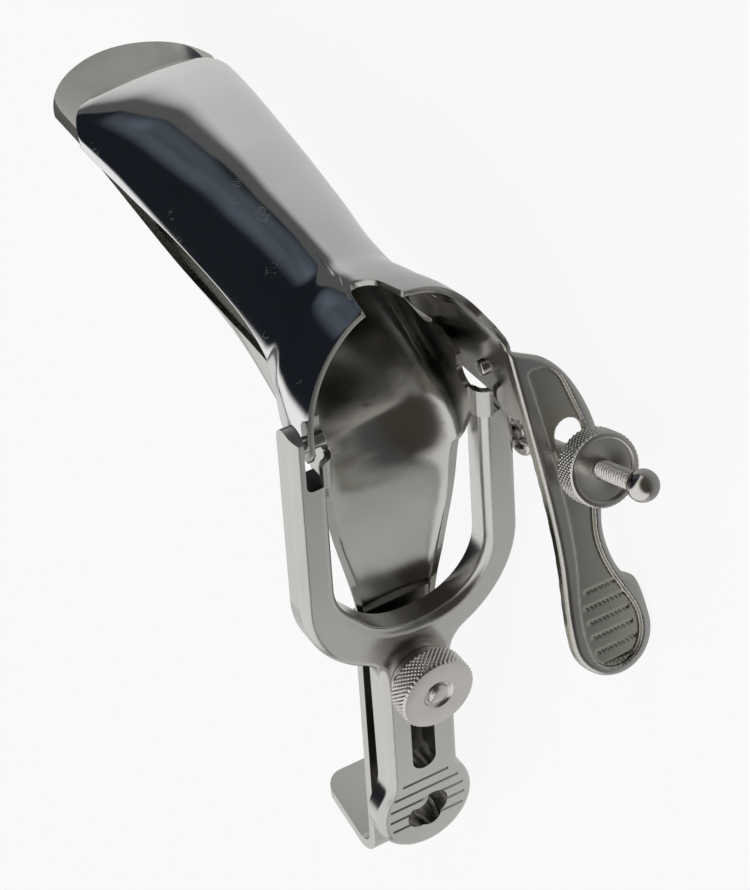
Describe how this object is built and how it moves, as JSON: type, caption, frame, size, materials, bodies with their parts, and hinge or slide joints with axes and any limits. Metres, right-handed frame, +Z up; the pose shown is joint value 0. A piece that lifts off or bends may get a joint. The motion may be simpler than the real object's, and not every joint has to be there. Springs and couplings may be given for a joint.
{
  "type": "speculum",
  "caption": "Two-blade hinged speculum: a mirror-bright upper blade with a thumb lever opens over a trough-shaped lower blade on a forked, slotted handle.",
  "frame": {"origin": "centre of the bounding box at floor height, with the instrument lying at rest on its right side", "axes": "+Z up from the floor it lies on; +Y runs from the foot of the handle strip towards the blade tips, the longest extent; X is across, with the hinge towards +X"},
  "size_m": [0.1402, 0.1742, 0.0591],
  "materials": {
    "polished_steel": "mirror polished sheet",
    "satin_steel": "satin, brushed along the blade",
    "yoke_steel": "bead-blasted forging with softly polished edges",
    "nut_steel": "turned, with a diamond knurl on the rims",
    "pin_steel": "turned and peened"
  },
  "bodies": {
    "frame": {"yoke": "yoke_steel", "left_hinge_pin": "pin_steel", "right_hinge_pin": "pin_steel", "eye_pivot": "pin_steel"},
    "upper": {"upper_blade": "polished_steel"},
    "lower": {"lower_blade": "satin_steel", "clamp_stud": "pin_steel"},
    "clamp": {"clamp_nut": "nut_steel"},
    "screw": {"side_screw": "nut_steel"},
    "side_nut": {"side_nut": "nut_steel"}
  },
  "joints": [
    {"name": "blade_hinge", "type": "hinge", "parent": "frame", "child": "upper", "pos_m": [0.03055, -0.00048, 0.03475], "axis": [0.2622, 0, -0.965], "range_deg": [0, 30]},
    {"name": "screw_swing", "type": "hinge", "parent": "frame", "child": "screw", "pos_m": [0.02209, -0.01557, 0.00468], "axis": [0.2622, 0, -0.965], "range_deg": [0, 15]},
    {"name": "side_nut_run", "type": "slide", "parent": "screw", "child": "side_nut", "axis": [0.9128, -0.3246, 0.248], "range_m": [-0.005, 0.011]},
    {"name": "blade_slide", "type": "slide", "parent": "frame", "child": "lower", "axis": [-0.666, -0.7237, -0.1809], "range_m": [0, 0.02]},
    {"name": "clamp_nut_turn", "type": "hinge", "parent": "lower", "child": "clamp", "pos_m": [-0.01231, -0.0543, 0.0231], "axis": [0.6984, -0.6901, 0.1897], "continuous": true}
  ],
  "couplings": [
    {"joint": "screw_swing", "follows": "blade_hinge", "ratio": 0.5}
  ]
}
